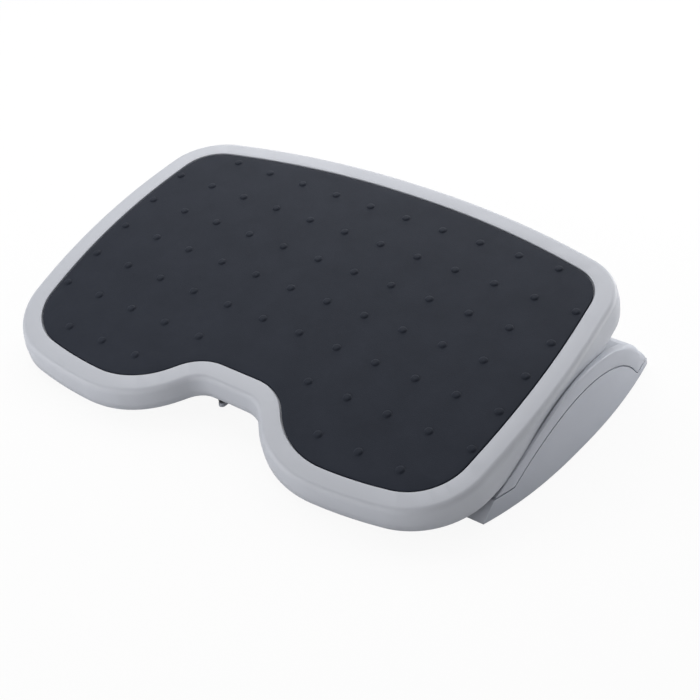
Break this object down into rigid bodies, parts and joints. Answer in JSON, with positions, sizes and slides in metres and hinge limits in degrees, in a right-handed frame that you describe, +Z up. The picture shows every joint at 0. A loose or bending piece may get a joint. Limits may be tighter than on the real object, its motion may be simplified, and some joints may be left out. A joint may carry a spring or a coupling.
{
  "type": "tilting under desk footrest",
  "caption": "Free-standing footrest: a crowned, rubber-covered platform with a front notch that rocks on two hinges over a low base with arched side pods.",
  "frame": {"origin": "on the floor, under the middle of the overall box", "axes": "+X to the user's right as the feet point to the rear, +Y to the raised rear edge, +Z up"},
  "size_m": [0.5466, 0.363, 0.1212],
  "materials": {
    "platform_plastic": "fine matt grain, pale cool grey",
    "base_plastic": "fine matt grain, cool grey",
    "mat_rubber": "fine stipple, charcoal",
    "bumper_rubber": "plain matt, near black",
    "glass_filled_nylon": "matt, black",
    "acetal": "smooth, natural white",
    "zinc_steel": "bright zinc plate"
  },
  "bodies": {
    "base": {"base_tray": "base_plastic", "right_side_cheek": "base_plastic", "right_arch_housing": "base_plastic", "right_pivot_tower": "glass_filled_nylon", "right_pivot_bush": "acetal", "right_stop_pad": "bumper_rubber", "right_front_foot": "bumper_rubber", "right_rear_foot": "bumper_rubber", "left_side_cheek": "base_plastic", "left_arch_housing": "base_plastic", "left_pivot_tower": "glass_filled_nylon", "left_pivot_bush": "acetal", "left_stop_pad": "bumper_rubber", "left_front_foot": "bumper_rubber", "left_rear_foot": "bumper_rubber", "tower_screw_1": "zinc_steel", "tower_screw_2": "zinc_steel", "tower_screw_3": "zinc_steel", "tower_screw_4": "zinc_steel", "tower_screw_5": "zinc_steel", "tower_screw_6": "zinc_steel", "tower_screw_7": "zinc_steel", "tower_screw_8": "zinc_steel", "housing_screw_1": "zinc_steel", "housing_screw_2": "zinc_steel", "housing_screw_3": "zinc_steel", "housing_screw_4": "zinc_steel", "housing_screw_5": "zinc_steel", "housing_screw_6": "zinc_steel", "cheek_screw_1": "zinc_steel", "cheek_screw_2": "zinc_steel", "cheek_screw_3": "zinc_steel", "cheek_screw_4": "zinc_steel", "cheek_screw_5": "zinc_steel", "cheek_screw_6": "zinc_steel"},
    "platform": {"foot_mat": "mat_rubber", "platform_shell": "platform_plastic", "right_hinge_bracket": "glass_filled_nylon", "right_pivot_pin": "zinc_steel", "right_pin_clip": "zinc_steel", "right_outer_washer": "acetal", "right_inner_washer": "acetal", "right_front_bumper": "bumper_rubber", "left_hinge_bracket": "glass_filled_nylon", "left_pivot_pin": "zinc_steel", "left_pin_clip": "zinc_steel", "left_outer_washer": "acetal", "left_inner_washer": "acetal", "left_front_bumper": "bumper_rubber", "bracket_screw_1": "zinc_steel", "bracket_screw_2": "zinc_steel", "bracket_screw_3": "zinc_steel", "bracket_screw_4": "zinc_steel", "bracket_screw_5": "zinc_steel", "bracket_screw_6": "zinc_steel", "bracket_screw_7": "zinc_steel", "bracket_screw_8": "zinc_steel"}
  },
  "joints": [
    {"name": "platform_tilt", "type": "hinge", "parent": "base", "child": "platform", "pos_m": [0, 0.02669, 0.05592], "axis": [1, 0, 0], "range_deg": [-15.4, 0]}
  ]
}
